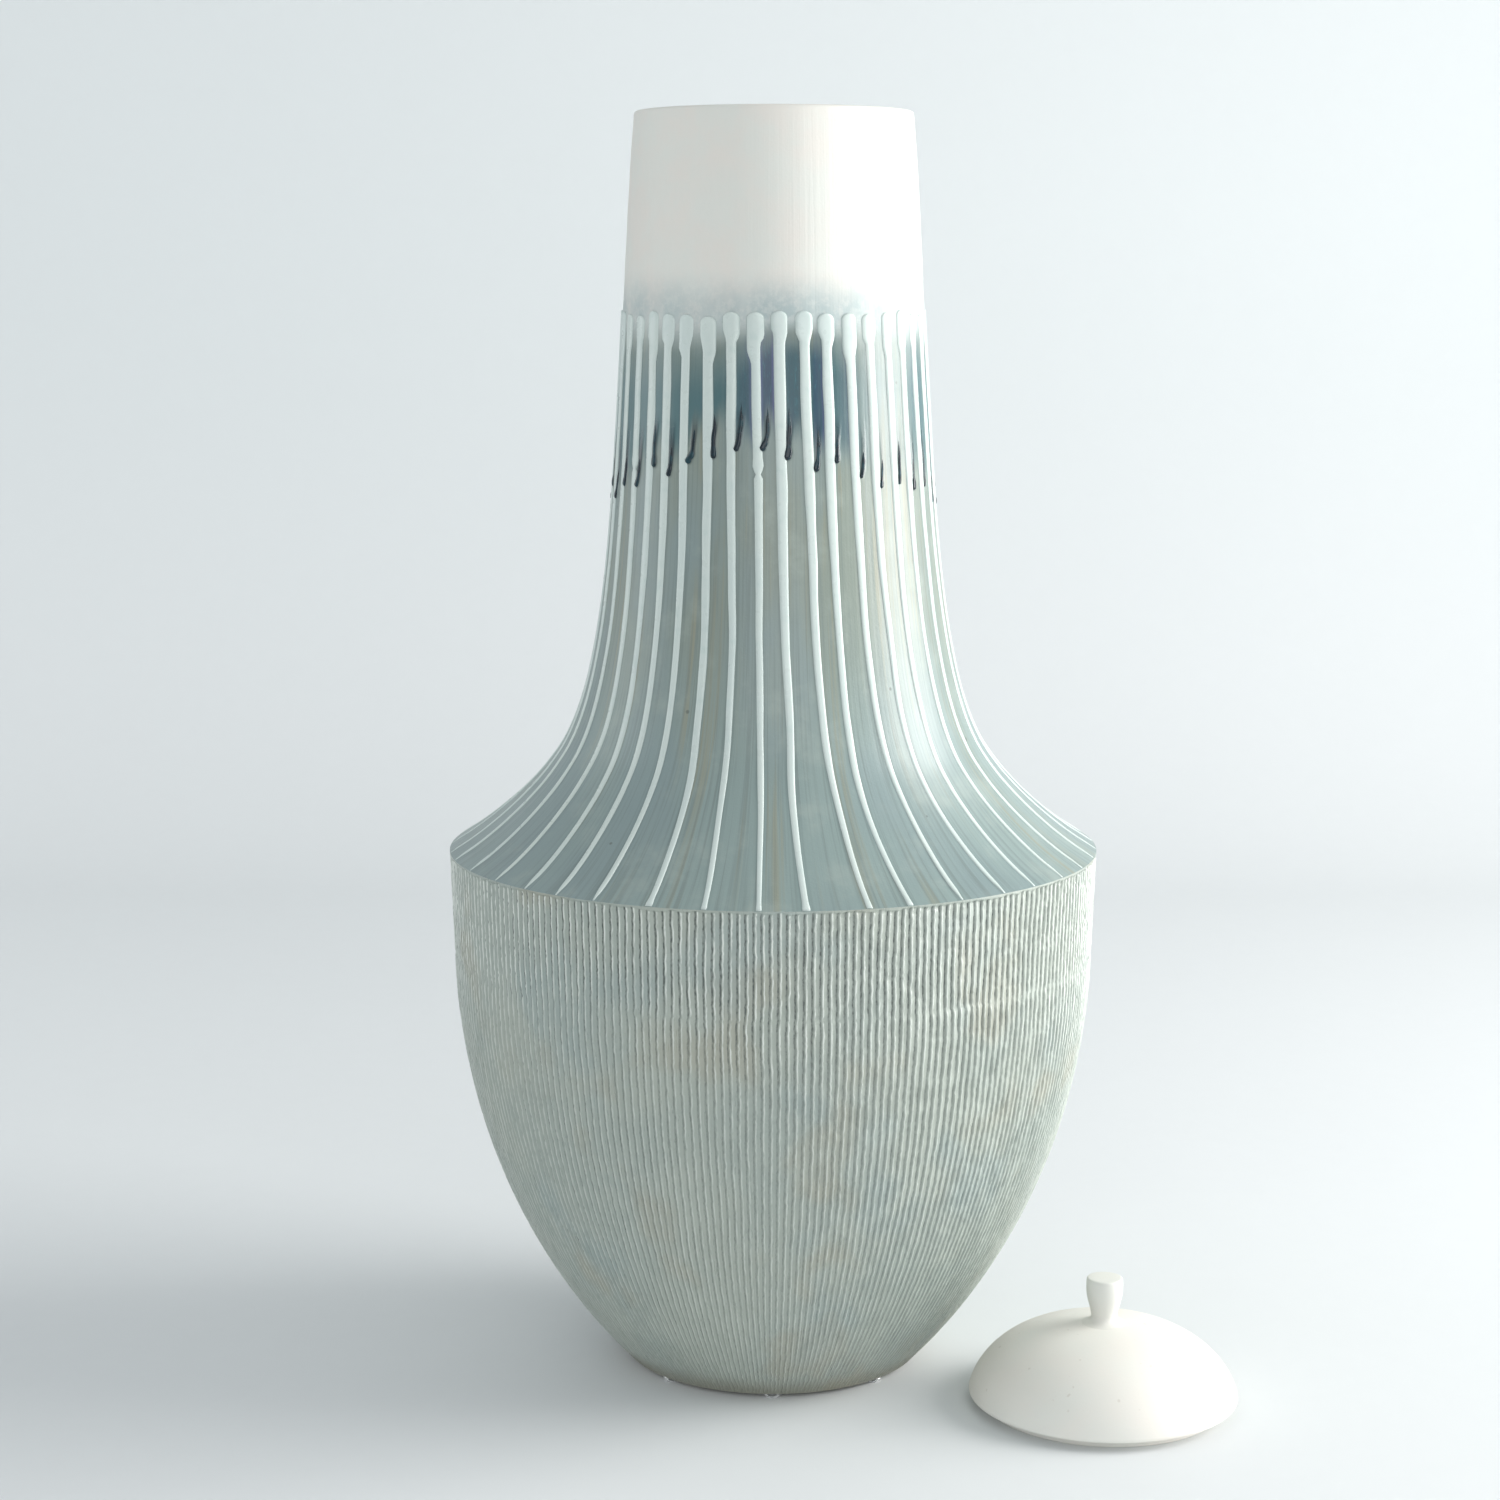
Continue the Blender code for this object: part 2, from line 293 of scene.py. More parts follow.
class Shading:
    """A material's node tree, with a Principled shader and short calls that add nodes to it."""

    def __init__(self, name):
        self.material = bpy.data.materials.new(name)
        self.material.use_nodes = True
        self.tree = self.material.node_tree
        self.shader = self.tree.nodes["Principled BSDF"]

    def put(self, socket, value):
        """Links an output to the socket, or sets the socket's own value."""
        if isinstance(value, bpy.types.NodeSocket):
            self.tree.links.new(value, socket)
        elif isinstance(value, tuple) and len(value) == 3 and socket.type == "RGBA":
            socket.default_value = (*value, 1.0)
        else:
            socket.default_value = value

    def node(self, kind, settings=None, **inputs):
        """A new node; an underscore in an input's name stands for a space."""
        made = self.tree.nodes.new(kind)
        for key, value in (settings or {}).items():
            setattr(made, key, value)
        for key, value in inputs.items():
            self.put(made.inputs[key.replace("_", " ")], value)
        return made

    def attribute(self, name, output="Fac"):
        return self.node("ShaderNodeAttribute", {"attribute_name": name}).outputs[output]

    def place(self):
        return self.node("ShaderNodeTexCoord").outputs["Object"]

    def scaled(self, vector, scale):
        return self.node("ShaderNodeMapping", Vector=vector, Scale=scale).outputs["Vector"]

    def noise(self, vector, scale, detail=3.0, roughness=0.55, distortion=0.0):
        made = self.node(
            "ShaderNodeTexNoise",
            Vector=vector,
            Scale=scale,
            Detail=detail,
            Roughness=roughness,
            Distortion=distortion,
        )
        return made.outputs["Fac"]

    def round_noise(self, around, across, along, detail=3.0, roughness=0.55, distortion=0.0):
        """Noise that follows the jar round; across and along say how fine it is in each direction."""
        return self.noise(self.scaled(around, (across, across, along)), 1.0, detail, roughness, distortion)

    def step(self, value, low, high, out_low=0.0, out_high=1.0):
        """A smooth step from out_low to out_high as the value goes from low to high."""
        made = self.node(
            "ShaderNodeMapRange",
            {"interpolation_type": "SMOOTHSTEP"},
            Value=value,
            From_Min=low,
            From_Max=high,
            To_Min=out_low,
            To_Max=out_high,
        )
        return made.outputs["Result"]

    def math(self, operation, first, second):
        """One calculation; a sum is kept between 0 and 1."""
        made = self.node("ShaderNodeMath", {"operation": operation, "use_clamp": operation == "ADD"})
        self.put(made.inputs[0], first)
        self.put(made.inputs[1], second)
        return made.outputs[0]

    def mix(self, factor, first, second):
        made = self.node("ShaderNodeMix", {"data_type": "RGBA"})
        self.put(made.inputs["Factor"], factor)
        self.put(made.inputs[MIX_FIRST], first)
        self.put(made.inputs[MIX_SECOND], second)
        return made.outputs[MIX_RESULT]

    def bump(self, height, distance, strength=1.0, normal=None):
        made = self.node("ShaderNodeBump", Height=height, Distance=distance, Strength=strength)
        if normal is not None:
            self.put(made.inputs["Normal"], normal)
        return made.outputs["Normal"]

    def finish(self, **sockets):
        """Sets the shader's sockets and returns the material."""
        for key, value in sockets.items():
            self.put(self.shader.inputs[key.replace("_", " ")], value)
        return self.material


# Colours of the neck's glaze
SAGE = (0.222, 0.262, 0.226)
SAGE_LOW = (0.238, 0.310, 0.296)
SAGE_BLUE = (0.212, 0.278, 0.280)
SAGE_OCHRE = (0.265, 0.260, 0.182)
SAGE_STREAK = (0.150, 0.190, 0.182)
SAGE_MOTTLE = (0.345, 0.395, 0.360)
SLATE = (0.070, 0.150, 0.160)
NAVY = (0.002, 0.034, 0.080)
TEAL = (0.001, 0.056, 0.074)
CRYSTAL = (0.020, 0.160, 0.195)
VIOLET = (0.050, 0.060, 0.210)
BESIDE_TRAIL = (0.075, 0.115, 0.115)
HAZE = (0.285, 0.385, 0.400)
PINHOLE = (0.10, 0.12, 0.11)

# Colours of the belly's glaze
COMB_GREEN = (0.345, 0.385, 0.340)
COMB_GREY = (0.318, 0.365, 0.330)
COMB_OCHRE = (0.340, 0.325, 0.250)
COMB_BLUE = (0.255, 0.335, 0.340)
COMB_MOTTLE = (0.400, 0.440, 0.390)
# Crest colour: partly glaze broken thin over the ridges, partly a painted highlight on the rib crests
COMB_CREST_AND_HIGHLIGHT = (0.700, 0.740, 0.690)
# Painted shade for the cut beside each rib's crest
COMB_CUT_SHADE = (0.080, 0.098, 0.088)
COMB_FOOT = (0.250, 0.235, 0.175)

# Colours of the runs, the lid and collar, the trails, the underside and the pads
INK = (0.001, 0.012, 0.020)
INK_TEAL = (0.006, 0.042, 0.056)
BONE = (0.695, 0.702, 0.654)
BONE_WARM = (0.722, 0.690, 0.638)
BONE_SPECK = (0.50, 0.45, 0.38)
SLIP = (0.560, 0.635, 0.610)
SLIP_WARM = (0.580, 0.650, 0.615)
SLIP_MINT = (0.450, 0.560, 0.530)
SLIP_EDGE = (0.280, 0.365, 0.345)
CLAY = (0.520, 0.480, 0.420)
CLAY_PALE = (0.60, 0.56, 0.49)
CLAY_DARK = (0.36, 0.32, 0.27)
RUBBER = (0.86, 0.88, 0.87)
RUBBER_PALE = (0.94, 0.95, 0.94)
PAPER = (0.70, 0.72, 0.725)
PAPER_HIGH = (0.66, 0.69, 0.695)
PAPER_GRAIN = (0.60, 0.62, 0.625)


def neck_glaze():
    """The neck and cone: bone collar, blue wash with ink-dark runs, and a satin sage glaze below."""
    made = Shading("neck_glaze")
    around = made.attribute("around", "Vector")
    place = made.place()
    wash = made.attribute("wash")
    pool = made.attribute("pool")
    collar = made.attribute("collar")
    beside = made.attribute("beside")
    centre = made.attribute("depth")

    broad = made.round_noise(around, 2.2, 0.9, 3.0)
    streak = made.round_noise(around, 26.0, 0.55, 3.0, 0.6)
    fine_streak = made.round_noise(around, 75.0, 1.4, 2.0, 0.6)
    mottle = made.noise(place, 42.0, 4.0, 0.6)
    grain = made.noise(place, 900.0, 2.0, 0.5)

    colour = made.mix(made.attribute("low"), SAGE, SAGE_LOW)
    colour = made.mix(made.step(broad, 0.42, 0.66, 0.0, 0.8), colour, SAGE_BLUE)
    ochre = made.math("MULTIPLY", made.step(streak, 0.52, 0.68, 0.0, 0.65), made.step(broad, 0.60, 0.44))
    colour = made.mix(ochre, colour, SAGE_OCHRE)
    colour = made.mix(made.step(fine_streak, 0.45, 0.70, 0.0, 0.50), colour, SAGE_STREAK)
    colour = made.mix(made.step(mottle, 0.50, 0.72, 0.0, 0.35), colour, SAGE_MOTTLE)

    hue = made.round_noise(around, 11.0, 0.5, 1.0, 0.4)
    deep = made.mix(made.step(hue, 0.40, 0.60), TEAL, NAVY)
    crystals = made.round_noise(around, 70.0, 14.0, 4.0, 0.7, 1.2)
    deep = made.mix(made.step(crystals, 0.54, 0.68, 0.0, 0.50), deep, CRYSTAL)
    rim_hue = made.math("MULTIPLY", beside, made.step(hue, 0.48, 0.56, 0.0, 0.95))
    deep = made.mix(rim_hue, deep, VIOLET)
    blue = made.mix(centre, SLATE, deep)
    clouds = made.round_noise(around, 30.0, 2.0, 4.0, 0.65)
    wash_amount = made.math("MULTIPLY", wash, made.step(clouds, 0.22, 0.52, 0.85, 1.0))
    colour = made.mix(wash_amount, colour, blue)
    edge_line = made.math("MULTIPLY", beside, 0.20)
    colour = made.mix(edge_line, colour, BESIDE_TRAIL)

    bone = made.mix(made.step(mottle, 0.35, 0.7), BONE, BONE_WARM)
    haze = made.round_noise(around, 3.5, 2.5, 3.0)
    specks = made.noise(place, 240.0, 4.0, 0.7)
    fade = made.math("MULTIPLY", made.attribute("haze"), made.step(haze, 0.30, 0.62, 0.60, 1.0))
    fade = made.math("MULTIPLY", fade, made.step(specks, 0.36, 0.56, 0.72, 1.0))
    bone = made.mix(fade, bone, HAZE)
    colour = made.mix(collar, colour, bone)
    colour = made.mix(pool, colour, INK)

    pits = made.node("ShaderNodeTexVoronoi", {"feature": "F1"}, Vector=place, Scale=85.0)
    chosen = made.step(pits.outputs["Color"], 0.80, 0.84)
    speck = made.math("MULTIPLY", made.step(pits.outputs["Distance"], 0.10, 0.05), chosen)
    speck = made.math("MULTIPLY", speck, made.step(collar, 1.0, 0.0, 0.25, 1.0))
    colour = made.mix(made.math("MULTIPLY", speck, 0.7), colour, PINHOLE)

    glossy = made.math("ADD", made.math("MULTIPLY", wash, 0.35), pool)
    rough = made.step(mottle, 0.3, 0.7, 0.33, 0.42)
    rough = made.mix(collar, rough, (0.72, 0.72, 0.72))
    rough = made.mix(glossy, rough, (0.20, 0.20, 0.20))
    relief = made.bump(made.math("SUBTRACT", grain, speck), 0.08 * MM, 0.6)
    relief = made.bump(streak, 0.35 * MM, 0.45, relief)
    return made.finish(Base_Color=colour, Roughness=rough, Normal=relief, Specular_IOR_Level=0.65)


def combed_glaze():
    """The belly: pale crests, partly glaze broken over the combed ridges and partly painted highlight, painted
    shade in the cut beside each rib, and blue and ochre areas.
    """
    made = Shading("combed_glaze")
    around = made.attribute("around", "Vector")
    place = made.place()
    groove = made.attribute("groove")
    foot = made.attribute("foot")
    # high: 0 on the lower belly to 1 on the upper, scaling the painted crest highlight and painted cut shade
    high = made.attribute("high")

    broad = made.round_noise(around, 1.9, 1.1, 3.0, 0.6)
    patch = made.round_noise(around, 3.0, 2.1, 2.0, 0.5)
    cool = made.round_noise(around, 2.6, 1.7, 2.0, 0.5)
    mottle = made.noise(place, 60.0, 4.0, 0.6)
    grain = made.noise(place, 1100.0, 2.0, 0.5)
    broken = made.round_noise(around, 170.0, 9.0, 3.0, 0.6)
    dashes = made.round_noise(around, 150.0, 42.0, 2.0, 0.6)

    colour = made.mix(made.step(broad, 0.40, 0.60), COMB_GREEN, COMB_GREY)
    colour = made.mix(made.step(patch, 0.53, 0.66, 0.0, 0.50), colour, COMB_OCHRE)
    colour = made.mix(made.step(cool, 0.57, 0.70, 0.0, 0.35), colour, COMB_BLUE)
    colour = made.mix(made.step(mottle, 0.45, 0.70, 0.0, 0.35), colour, COMB_MOTTLE)
    # Painted highlight on the rib crests, partly glaze broken over the ridges, stronger on the upper belly
    crest = made.math("MULTIPLY", made.step(groove, 0.65, 0.20), made.step(broken, 0.38, 0.58, 0.35, 1.0))
    crest = made.math("MULTIPLY", crest, made.step(high, 0.0, 1.0, 0.55, 1.0))
    colour = made.mix(crest, colour, COMB_CREST_AND_HIGHLIGHT)
    # Painted shade in the cut beside each crest, broken up by dashes and stronger on the upper belly
    cut = made.step(groove, 0.98, 1.22)
    shade = made.math("MULTIPLY", cut, made.step(dashes, 0.36, 0.60, 1.0, 0.45))
    shade = made.math("MULTIPLY", shade, made.step(high, 0.0, 1.0, 0.45, 1.0))
    colour = made.mix(shade, colour, COMB_CUT_SHADE)
    colour = made.mix(made.math("MULTIPLY", foot, 0.65), colour, COMB_FOOT)

    rough = made.step(broken, 0.3, 0.7, 0.26, 0.44)
    relief = made.bump(grain, 0.10 * MM, 0.6)
    relief = made.bump(broken, 0.25 * MM, 0.7, relief)
    relief = made.bump(dashes, 0.20 * MM, 0.6, relief)
    return made.finish(Base_Color=colour, Roughness=rough, Normal=relief, Specular_IOR_Level=0.9)


def slip_glaze():
    """The trails: pale slip that melts to a faint mint at its edges."""
    made = Shading("slip_glaze")
    around = made.attribute("around", "Vector")
    place = made.place()
    crown = made.attribute("crown")
    streak = made.round_noise(around, 40.0, 1.5, 3.0)
    mottle = made.noise(place, 150.0, 3.0)
    colour = made.mix(made.step(streak, 0.35, 0.65), SLIP, SLIP_WARM)
    colour = made.mix(made.step(mottle, 0.52, 0.75, 0.0, 0.35), colour, SLIP_MINT)
    colour = made.mix(made.step(crown, 0.45, 0.0, 0.0, 0.45), colour, SLIP_EDGE)
    rough = made.step(mottle, 0.3, 0.7, 0.26, 0.40)
    relief = made.bump(mottle, 0.12 * MM, 0.5)
    return made.finish(Base_Color=colour, Roughness=rough, Normal=relief, Specular_IOR_Level=0.5)


def ink_glaze():
    """The dark runs: nearly black glass with a teal depth."""
    made = Shading("ink_glaze")
    place = made.place()
    cloud = made.noise(place, 220.0, 2.0)
    colour = made.mix(made.step(cloud, 0.44, 0.70), INK, INK_TEAL)
    rough = made.step(cloud, 0.3, 0.7, 0.08, 0.18)
    relief = made.bump(cloud, 0.10 * MM, 0.5)
    return made.finish(Base_Color=colour, Roughness=rough, Normal=relief, Specular_IOR_Level=0.45)


def bone_glaze(name, lift):
    """Matte bone glaze of the lid, its brightness times lift: a fine tooth and faint warm clouds."""
    made = Shading(name)
    place = made.place()
    cloud = made.noise(place, 14.0, 3.0)
    grain = made.noise(place, 700.0, 3.0, 0.6)
    speck = made.noise(place, 260.0, 1.0)
    even, warm = (tuple(lift * part for part in colour) for colour in (BONE, BONE_WARM))
    colour = made.mix(made.step(cloud, 0.35, 0.68), even, warm)
    colour = made.mix(made.step(speck, 0.73, 0.80, 0.0, 0.35), colour, BONE_SPECK)
    rough = made.step(grain, 0.3, 0.7, 0.55, 0.72)
    relief = made.bump(grain, 0.07 * MM, 0.5)
    relief = made.bump(cloud, 0.6 * MM, 0.25, relief)
    return made.finish(Base_Color=colour, Roughness=rough, Normal=relief, Specular_IOR_Level=0.4)


def raw_clay():
    """Unglazed underside of the foot."""
    made = Shading("raw_clay")
    place = made.place()
    cloud = made.noise(place, 30.0, 4.0)
    grain = made.noise(place, 1500.0, 3.0, 0.7)
    colour = made.mix(cloud, CLAY, CLAY_PALE)
    colour = made.mix(made.step(grain, 0.58, 0.72, 0.0, 0.5), colour, CLAY_DARK)
    rough = made.step(grain, 0.3, 0.7, 0.80, 0.95)
    return made.finish(Base_Color=colour, Roughness=rough, Normal=made.bump(grain, 0.15 * MM, 0.7))


def clear_rubber():
    """Clear soft bumper: milky, with light passing through it."""
    made = Shading("clear_rubber")
    place = made.place()
    cloud = made.noise(place, 400.0, 2.0)
    colour = made.mix(cloud, RUBBER, RUBBER_PALE)
    rough = made.step(cloud, 0.3, 0.7, 0.18, 0.32)
    relief = made.bump(cloud, 0.05 * MM, 0.4)
    return made.finish(
        Base_Color=colour, Roughness=rough, Normal=relief, Transmission_Weight=0.85, IOR=1.49
    )


NECK_GLAZE = neck_glaze()
COMBED_GLAZE = combed_glaze()
SLIP_GLAZE = slip_glaze()
INK_GLAZE = ink_glaze()
DOME_GLAZE = bone_glaze("dome_glaze", 1.04)
KNOB_GLAZE = bone_glaze("knob_glaze", 1.0)
RAW_CLAY = raw_clay()
CLEAR_RUBBER = clear_rubber()


# ---------------------------------------------------------------- slip trails


class Trail:
    """One slip trail: its place round the jar, its width and how far it stands up, at each height."""

    def __init__(self, number):
        draw = np.random.default_rng(TRAIL_SEED + number)
        self.start = wrapped(TRAIL_PHASE + number * TURN / TRAIL_COUNT + draw.normal(0.0, 0.0060))
        self.lean = TRAIL_LEAN * draw.uniform(0.75, 1.25)
        self.width = draw.uniform(0.90, 1.10)
        self.head_width = draw.uniform(7.2, 8.7) * MM
        self.head_top = HEAD_TOP + draw.uniform(-1.8, 1.2) * MM
        self.narrows = draw.uniform(6.5, 17.0, 2) * MM
        self.tapers = draw.uniform(2.0, 9.0, 2) * MM
        self.sway = Noise(SWAY_SEED + number, 3, 7)
        self.pulse = Noise(PULSE_SEED + number, 3, 16)
        self.blunt = float(abs(wrapped(self.start + self.lean)) < BLUNT_REACH) * draw.uniform(0.5, 1.0)
        self.pinched = draw.random() < 0.12

    def share(self, height):
        """0 at the head and 1 at the shoulder."""
        return np.clip((HEAD_TOP - height) / (HEAD_TOP - SHOULDER_HEIGHT), 0.0, 1.0)

    def azimuth(self, height):
        """Azimuth of the trail's middle."""
        share = self.share(height)
        wander = self.sway(0.5, share) * 0.0075 * ramp(share, 0.02, 0.2)
        return self.start + self.lean * share + wander

    def half_width(self, height, side=0):
        """Half the width at each height, on the side towards smaller (0) or larger (1) azimuth."""
        share = self.share(height)
        line = (5.1 - 1.45 * ramp(share, 0.2, 0.65) - 0.9 * ramp(share, 0.7, 1.0)) * MM * self.width
        line = line * (1.0 + 0.09 * self.pulse(0.2 + 0.5 * side, share))
        swollen = self.head_top - self.narrows[side]
        swell = ramp(height, swollen - self.tapers[side], swollen)
        width = line + (self.head_width - line) * swell
        if self.pinched:
            pinch = np.exp(-(((height - PINCH_HEIGHT) / (1.2 * MM)) ** 2))
            bead = np.exp(-(((height - BEAD_HEIGHT) / (1.8 * MM)) ** 2))
            width = width * (1.0 - 0.50 * pinch + 0.18 * bead)
        past = np.clip((self.head_top - height) / (0.42 * self.head_width), 0.0, 1.0)
        round_top = (1.0 - (1.0 - past) ** 2.4) ** 0.45
        tail = ramp(height, SHOULDER_HEIGHT - 0.4 * MM, SHOULDER_HEIGHT + 5.0 * MM)
        drop = 0.35 * np.exp(-(((height - SHOULDER_HEIGHT - 0.8 * MM) / (1.6 * MM)) ** 2))
        end = (0.35 + 0.65 * tail) * (1.0 - self.blunt) + (1.0 + drop) * self.blunt
        return 0.5 * width * round_top * end

    def stand_up(self, height):
        """How far the trail stands up from the neck."""
        share = self.share(height)
        return TRAIL_HEIGHT * (1.0 - 0.35 * share) * (1.0 + 0.12 * self.pulse(0.1, share))


TRAILS = [Trail(number) for number in range(TRAIL_COUNT)]


def cone_normal(height):
    """Outward and upward parts of the neck's normal at each height."""
    step = 0.4 * MM
    rise = (neck_radius(height + step) - neck_radius(height - step)) / (2 * step)
    length = np.sqrt(1.0 + rise * rise)
    return 1.0 / length, -rise / length


def bead_piece(name, strands, material):
    """Low rounded beads on the neck, their undersides sunk in it, as one mesh with a closed body for each.

    A strand is its heights, its middle azimuth, its half widths on both sides and how far it stands up.
    """
    upper = [(u, (1.0 - abs(u) ** 3.0) ** 0.70, 0.0) for u in np.linspace(-1.0, 1.0, 11)]
    under = [(u, 0.0, 0.7 * MM) for u in (1.0, 0.4, -0.4, -1.0)]
    section = upper + under
    points, faces, crowns, azimuths, heights = [], [], [], [], []
    base = 0
    for height, middle, left, right, tall in strands:
        radius = neck_radius(height)
        out, up = cone_normal(height)
        columns = []
        for u, crown, sink in section:
            lift = tall * crown - sink - 0.12 * MM
            azimuth = middle + u * (left if u < 0.0 else right) / radius
            columns.append(on_jar(azimuth, radius + lift * out, height + lift * up))
        grid = np.stack(columns, axis=1)
        rows, across = grid.shape[:2]
        numbers = np.arange(rows * across).reshape(rows, across) + base
        ring = np.concatenate([numbers, numbers[:, :1]], axis=1)
        quads = np.stack([ring[:-1, :-1], ring[1:, :-1], ring[1:, 1:], ring[:-1, 1:]], axis=-1)
        faces += quads.reshape(-1, 4).tolist()
        faces.append(numbers[0].tolist())
        faces.append(numbers[-1, ::-1].tolist())
        points.append(grid.reshape(-1, 3))
        crowns.append(np.tile([crown for _, crown, _ in section], rows))
        azimuths.append(np.repeat(middle, across))
        heights.append(np.repeat(height, across))
        base += rows * across
    mesh = bpy.data.meshes.new(name)
    mesh.from_pydata(np.concatenate(points).tolist(), [], faces)
    mesh.shade_smooth()
    mesh.materials.append(material)
    piece = bpy.data.objects.new(name, mesh)
    bpy.context.scene.collection.objects.link(piece)
    store(piece, "crown", np.concatenate(crowns))
    store_round(piece, np.concatenate(azimuths), np.concatenate(heights))
    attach(piece, JAR_BODY)
    return piece


def add_trails():
    """Every slip trail, from its rounded head to its end at the shoulder."""
    strands = []
    for trail in TRAILS:
        cap = trail.head_top - (1.0 - np.cos(np.linspace(0.02, 0.5 * math.pi, 12))) * 4.0 * MM
        body = even_rows(neck_radius, SHOULDER_HEIGHT + 0.2 * MM, cap[-1], TRAIL_ROWS)[::-1][1:]
        height = np.concatenate([cap, body])
        left = trail.half_width(height, 0)
        right = trail.half_width(height, 1)
        tall = trail.stand_up(height) * np.clip((left + right) / (2.2 * MM), 0.0, 1.0)
        strands.append((height, trail.azimuth(height), left, right, tall))
    piece = bead_piece("slip_trails", strands, SLIP_GLAZE)
    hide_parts(*[f"slip_trail_{number + 1:02d}" for number in range(TRAIL_COUNT)])


# ---------------------------------------------------------------- neck and cone


class Run:
    """A dark run of glaze in the gap beside a trail: it falls straight, then hooks onto the trail's edge."""

    def __init__(self, number):
        draw = np.random.default_rng(RUN_SEED + number)
        trail = TRAILS[number]
        spacing = TURN / TRAIL_COUNT
        middle = trail.start + 0.5 * spacing
        swing = RUN_TIP_SWING * math.cos(2.0 * middle + 0.2)
        self.tip = RUN_TIP + swing + draw.uniform(-4.0, 4.0) * MM
        self.start = trail.start + spacing * draw.uniform(0.38, 0.58)
        radius = float(neck_radius(self.tip))
        edge = float(trail.azimuth(self.tip) + trail.half_width(self.tip, 1) / radius)
        self.end = edge + draw.uniform(-0.2, 0.6) * MM / radius
        self.bend = draw.uniform(6.0, 13.0)
        thin = math.exp(-((float(wrapped(middle - THIN_MIDDLE)) / THIN_REACH) ** 2))
        self.width = draw.uniform(0.90, 1.35) * MM * (1.0 - 0.35 * thin)
        self.bulb = draw.uniform(1.45, 2.15) * MM * (1.0 - 0.35 * thin)
        self.strength = draw.uniform(0.75, 1.0)
        self.length = draw.uniform(13.0, 24.0) * MM
        self.kink = Noise(KINK_SEED + number, 3, 5)

    def line(self, t):
        """Azimuth of the run's middle, at t from 0 at its start to 1 at its tip."""
        kink = 0.006 * self.kink(0.5, t) * ramp(t, 0.3, 0.7)
        return self.start + (self.end - self.start) * t**self.bend + kink

    def mask(self, azimuth, height):
        """How much of each point the run covers, from 0 to 1."""
        t = np.clip((RUN_TOP - height) / (RUN_TOP - self.tip), 0.0, 1.0)
        across = np.abs(wrapped(azimuth - self.line(t))) * neck_radius(height)
        beyond = np.maximum(self.tip - height, 0.0)
        distance = np.hypot(across, beyond)
        half = self.width * (1.0 + 0.9 * (1.0 - t)) + (self.bulb - self.width) * ramp(t, 0.86, 0.97)
        cover = ramp(distance, 1.35 * half, 0.65 * half)
        return cover * self.strength * ramp(t, 0.35, 0.80)


RUNS = [Run(number) for number in range(TRAIL_COUNT)]


def add_runs():
    """The raised, glassy ends of the dark runs."""
    strands = []
    for run in RUNS:
        fall = np.linspace(0.0, 1.0, 34)
        end = run.bulb * (1.0 - np.cos(np.linspace(0.5 * math.pi, 0.0, 8)))
        height = np.concatenate([run.tip + run.length * (1.0 - fall), run.tip - end[::-1][1:]])
        t = np.clip((RUN_TOP - height) / (RUN_TOP - run.tip), 0.0, 1.0)
        above = (height - run.tip) / run.length
        half = run.width + (run.bulb - run.width) * ramp(above, 0.22, 0.05)
        half = half * ramp(above, 1.0, 0.45)
        below = np.clip((run.tip - height) / run.bulb, 0.0, 1.0)
        half = np.maximum(half * np.sqrt(1.0 - below**2), 0.02 * MM)
        tall = 1.15 * MM * np.clip(half / run.bulb, 0.0, 1.0) ** 0.8
        strands.append((height, run.line(t), half, half, tall))
    piece = bead_piece("glaze_runs", strands, INK_GLAZE)
    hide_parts("jar_body")


def neck_masks(azimuth, height):
    """The neck's colour zones at each point, from 0 to 1, by the names that its material reads."""
    pool = np.zeros_like(height)
    beside = np.zeros_like(height)
    wash_end = np.zeros_like(height)
    weight = np.zeros_like(height)
    radius = neck_radius(height)
    for trail, run in zip(TRAILS, RUNS):
        near = np.abs(wrapped(azimuth - trail.start)) < 0.5
        angle = azimuth[near]
        rise = height[near]
        pool[near] = np.maximum(pool[near], run.mask(angle, rise))
        away = wrapped(angle - trail.azimuth(rise))
        half = np.where(away < 0.0, trail.half_width(rise, 0), trail.half_width(rise, 1))
        reach = np.abs(away) * radius[near] - half
        below_top = ramp(rise, trail.head_top + 0.5 * MM, trail.head_top - 2.0 * MM)
        line = np.exp(-((np.maximum(reach, 0.0) / (0.75 * MM)) ** 2)) * below_top
        beside[near] = np.maximum(beside[near], line)
        closeness = np.exp(-((wrapped(angle - run.start) / 0.055) ** 2))
        wash_end[near] += closeness * run.tip
        weight[near] += closeness
    wash_end = wash_end / np.maximum(weight, 1e-6)
    turn = azimuth / TURN
    fringe = Noise(31, 150, 4)(turn, height) * 5.0 * MM + Noise(32, 60, 4)(turn, height) * 6.0 * MM
    thin = np.exp(-((wrapped(azimuth - THIN_MIDDLE) / THIN_REACH) ** 2))
    lower = ramp(height, wash_end + 2.0 * MM + fringe, wash_end + 19.0 * MM + fringe)
    haze = ramp(height, WASH_TOP, HEAD_TOP) * (0.75 + 0.25 * Noise(33, 9, 4)(turn, height))
    patches = Noise(35, 7, 1)(turn + 0.045, 0.0 * height) + 0.35 * Noise(36, 34, 1)(turn, 0.0 * height)
    depth = ramp(patches, -0.25, 0.75)
    front = np.exp(-((wrapped(azimuth - DEEP_MIDDLE) / DEEP_REACH) ** 2))
    depth = np.clip(0.35 * depth + 1.1 * front, 0.0, 1.0)
    upper = 0.15 + 0.85 * ramp(height, HEAD_MIDDLE + 2.0 * MM, WASH_FULL - (12.0 - 22.0 * depth) * MM)
    wash = lower * upper * (1.0 - 0.72 * thin)
    pool = pool * (1.0 - 0.55 * thin)
    collar = ramp(height, HEAD_TOP - (20.0 - 10.0 * depth) * MM, HEAD_TOP - 2.0 * MM)
    low = ramp(height, 0.40, 0.29)
    return {
        "pool": pool,
        "wash": wash,
        "depth": depth,
        "haze": haze,
        "collar": collar,
        "beside": beside,
        "low": low,
    }


